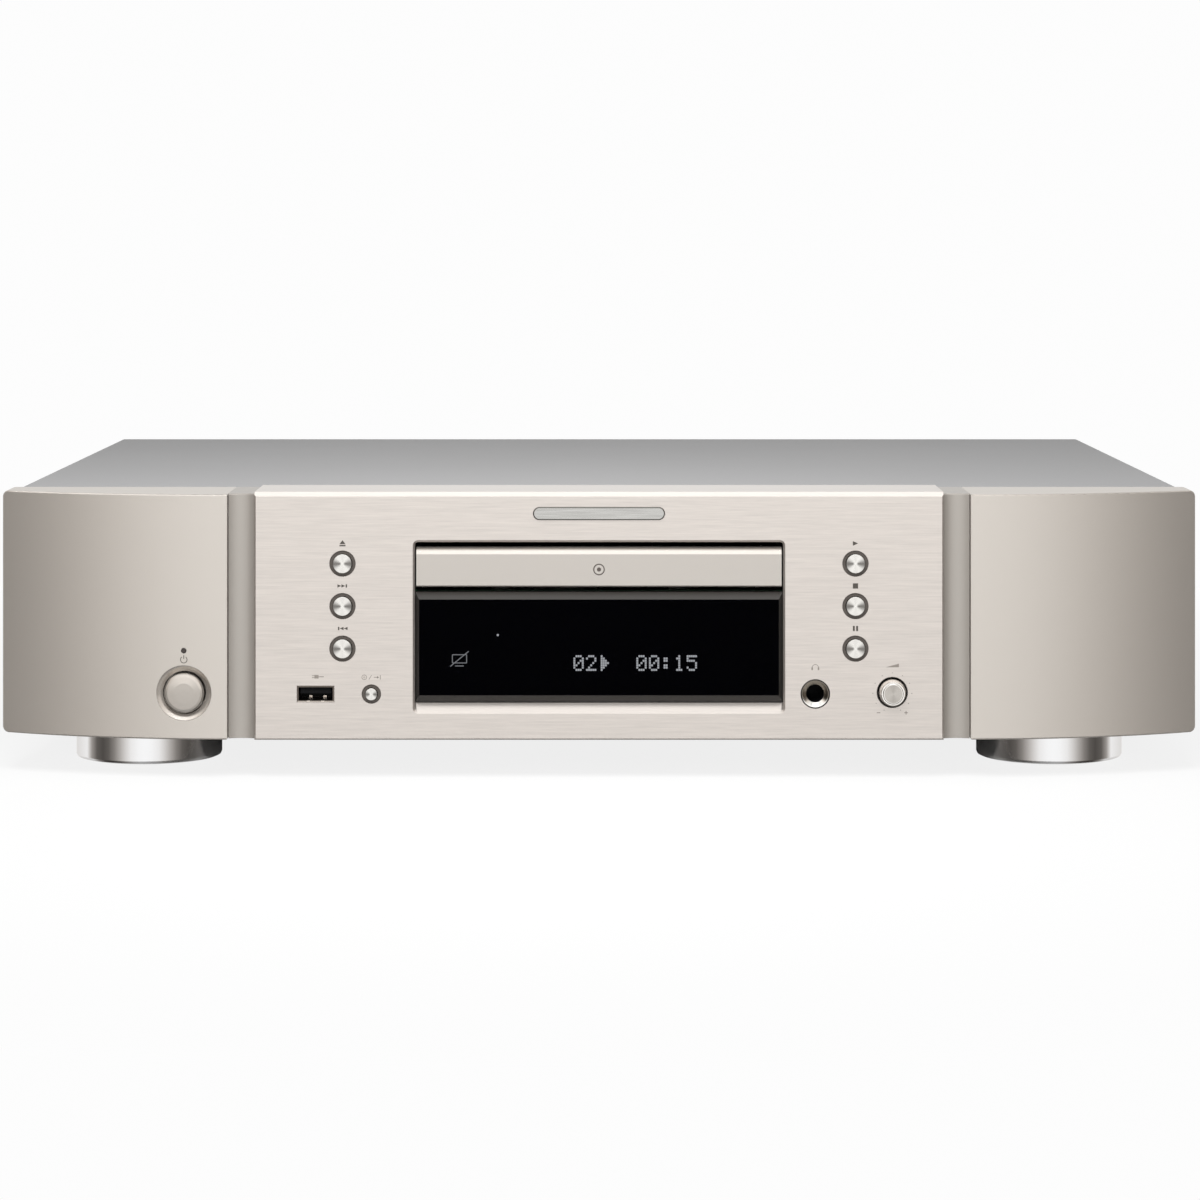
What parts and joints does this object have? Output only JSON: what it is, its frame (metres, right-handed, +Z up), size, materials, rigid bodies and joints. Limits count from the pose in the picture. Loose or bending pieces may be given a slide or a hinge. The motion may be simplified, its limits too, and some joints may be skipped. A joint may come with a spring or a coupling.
{
  "type": "cd player",
  "caption": "Full-width hi-fi disc player: bowed satin wings beside a flat brushed centre plate with a motorised disc tray, dark display, round buttons and chrome feet.",
  "frame": {"origin": "on the surface that the player stands on, under the middle of its overall width and depth (sockets and knob included)", "axes": "+X to the right as seen from in front, -Y out of the front panel towards the listener, +Z up"},
  "size_m": [0.44, 0.335, 0.105],
  "materials": {
    "cover_paint": "satin silver-grey paint",
    "chassis_steel": "plain zinc-plated sheet",
    "panel_moulding": "fine satin champagne-silver paint",
    "plate_aluminium": "horizontal brushed grain, clear anodised",
    "button_metal": "spun face, satin edge",
    "window_glass": "polished black acrylic",
    "display_module": "dark glass display tube",
    "lamp_clear": "clear light pipe",
    "black_moulding": "black moulded plastic",
    "steel_bright": "bright plated steel",
    "circuit_board": "solder-masked board",
    "gear_plastic": "natural acetal",
    "belt_rubber": "matt black rubber",
    "pickup_metal": "die cast",
    "lens_plastic": "coated lens in a black holder",
    "coil_wrap": "wound tape",
    "flat_cable": "white laminated ribbon",
    "socket_plating": "gold-plated barrel",
    "foot_chrome": "polished chrome"
  },
  "bodies": {
    "case": {"top_cover": "cover_paint", "bottom_chassis": "chassis_steel", "rear_panel": "chassis_steel", "front_frame": "panel_moulding", "left_wing": "panel_moulding", "right_wing": "panel_moulding", "centre_plate": "plate_aluminium", "badge_bar": "plate_aluminium", "display_lens": "window_glass", "display_panel": "display_module", "standby_lamp": "lamp_clear", "button_bezels": "black_moulding", "front_board": "circuit_board", "power_switch": "black_moulding", "phones_socket": "black_moulding", "usb_socket": "steel_bright", "loader_frame": "black_moulding", "clamp_bridge": "chassis_steel", "tray_motor": "steel_bright", "drive_belt": "belt_rubber", "main_board": "circuit_board", "power_board": "circuit_board", "transformer": "coil_wrap", "ribbon_cables": "flat_cable", "ac_inlet": "black_moulding", "line_sockets": "socket_plating", "digital_sockets": "socket_plating", "front_left_foot": "foot_chrome", "front_right_foot": "foot_chrome", "rear_left_foot": "foot_chrome", "rear_right_foot": "foot_chrome", "foot_pads": "belt_rubber", "screws": "steel_bright"},
    "tray": {"tray_door": "panel_moulding", "disc_tray": "black_moulding"},
    "tray_gear": {"tray_gear": "gear_plastic"},
    "pulley_gear": {"pulley_gear": "gear_plastic"},
    "motor_pulley": {"motor_pulley": "gear_plastic"},
    "cam": {"cam_slider": "gear_plastic"},
    "drive_unit": {"traverse_frame": "chassis_steel", "damper_grommets": "belt_rubber", "spindle_motor": "steel_bright", "guide_rods": "steel_bright", "sled_motor": "steel_bright"},
    "turntable": {"turntable": "belt_rubber"},
    "clamper": {"clamper": "black_moulding"},
    "pickup": {"pickup_sled": "pickup_metal"},
    "lens": {"lens_holder": "lens_plastic"},
    "sled_gear": {"sled_gear": "gear_plastic"},
    "sled_pinion": {"sled_pinion": "gear_plastic"},
    "remote_switch": {"remote_switch": "black_moulding"},
    "level_knob": {"level_knob": "plate_aluminium"},
    "power_button": {"power_button": "panel_moulding"},
    "source_button": {"source_button": "button_metal"},
    "open_button": {"open_button": "button_metal"},
    "next_button": {"next_button": "button_metal"},
    "previous_button": {"previous_button": "button_metal"},
    "play_button": {"play_button": "button_metal"},
    "stop_button": {"stop_button": "button_metal"},
    "pause_button": {"pause_button": "button_metal"}
  },
  "joints": [
    {"name": "tray_slide", "type": "slide", "parent": "case", "child": "tray", "axis": [0, -1, 0], "range_m": [0, 0.14]},
    {"name": "tray_gear_turn", "type": "hinge", "parent": "case", "child": "tray_gear", "pos_m": [-0.0365, -0.118, 0.0715], "axis": [0, 0, 1], "range_deg": [0, 448]},
    {"name": "pulley_gear_turn", "type": "hinge", "parent": "case", "child": "pulley_gear", "pos_m": [-0.0125, -0.118, 0.0715], "axis": [0, 0, 1], "range_deg": [-1344, 0]},
    {"name": "motor_pulley_turn", "type": "hinge", "parent": "case", "child": "motor_pulley", "pos_m": [0.03, -0.118, 0.064], "axis": [0, 0, 1], "range_deg": [-4811, 0]},
    {"name": "unit_lift", "type": "slide", "parent": "case", "child": "drive_unit", "axis": [0, 0, 1], "range_m": [0, 0.006]},
    {"name": "cam_slide", "type": "slide", "parent": "case", "child": "cam", "axis": [1, 0, 0], "range_m": [0, 0.015]},
    {"name": "turntable_spin", "type": "hinge", "parent": "drive_unit", "child": "turntable", "pos_m": [0, -0.082, 0.0705], "axis": [0, 0, 1], "continuous": true},
    {"name": "clamper_spin", "type": "hinge", "parent": "case", "child": "clamper", "pos_m": [0, -0.082, 0.084], "axis": [0, 0, 1], "continuous": true},
    {"name": "sled_slide", "type": "slide", "parent": "drive_unit", "child": "pickup", "axis": [0, 1, 0], "range_m": [0, 0.034]},
    {"name": "lens_focus", "type": "slide", "parent": "pickup", "child": "lens", "axis": [0, 0, 1], "range_m": [-0.0007, 0.0007]},
    {"name": "sled_gear_turn", "type": "hinge", "parent": "drive_unit", "child": "sled_gear", "pos_m": [-0.0298, -0.031, 0.0645], "axis": [0, 0, 1], "range_deg": [0, 408]},
    {"name": "sled_pinion_turn", "type": "hinge", "parent": "drive_unit", "child": "sled_pinion", "pos_m": [-0.0388, -0.031, 0.0638], "axis": [0, 0, 1], "range_deg": [-1061, 0]},
    {"name": "level_turn", "type": "hinge", "parent": "case", "child": "level_knob", "pos_m": [0.1067, -0.165, 0.0321], "axis": [0, -1, 0], "range_deg": [-150, 150]},
    {"name": "power_press", "type": "slide", "parent": "case", "child": "power_button", "axis": [0, 1, 0], "range_m": [0, 0.003]},
    {"name": "source_press", "type": "slide", "parent": "case", "child": "source_button", "axis": [0, 1, 0], "range_m": [0, 0.001]},
    {"name": "remote_switch_slide", "type": "slide", "parent": "case", "child": "remote_switch", "axis": [1, 0, 0], "range_m": [0, 0.0045]},
    {"name": "open_press", "type": "slide", "parent": "case", "child": "open_button", "axis": [0, 1, 0], "range_m": [0, 0.001]},
    {"name": "next_press", "type": "slide", "parent": "case", "child": "next_button", "axis": [0, 1, 0], "range_m": [0, 0.001]},
    {"name": "previous_press", "type": "slide", "parent": "case", "child": "previous_button", "axis": [0, 1, 0], "range_m": [0, 0.001]},
    {"name": "play_press", "type": "slide", "parent": "case", "child": "play_button", "axis": [0, 1, 0], "range_m": [0, 0.001]},
    {"name": "stop_press", "type": "slide", "parent": "case", "child": "stop_button", "axis": [0, 1, 0], "range_m": [0, 0.001]},
    {"name": "pause_press", "type": "slide", "parent": "case", "child": "pause_button", "axis": [0, 1, 0], "range_m": [0, 0.001]}
  ],
  "couplings": [
    {"joint": "tray_gear_turn", "follows": "tray_slide", "rad_per_m": 55.556},
    {"joint": "pulley_gear_turn", "follows": "tray_slide", "rad_per_m": -166.67},
    {"joint": "motor_pulley_turn", "follows": "tray_slide", "rad_per_m": -596.77},
    {"joint": "cam_slide", "follows": "unit_lift", "ratio": 2.5},
    {"joint": "clamper_spin", "follows": "turntable_spin", "ratio": 1},
    {"joint": "sled_gear_turn", "follows": "sled_slide", "rad_per_m": 208.33},
    {"joint": "sled_pinion_turn", "follows": "sled_slide", "rad_per_m": -541.67}
  ]
}
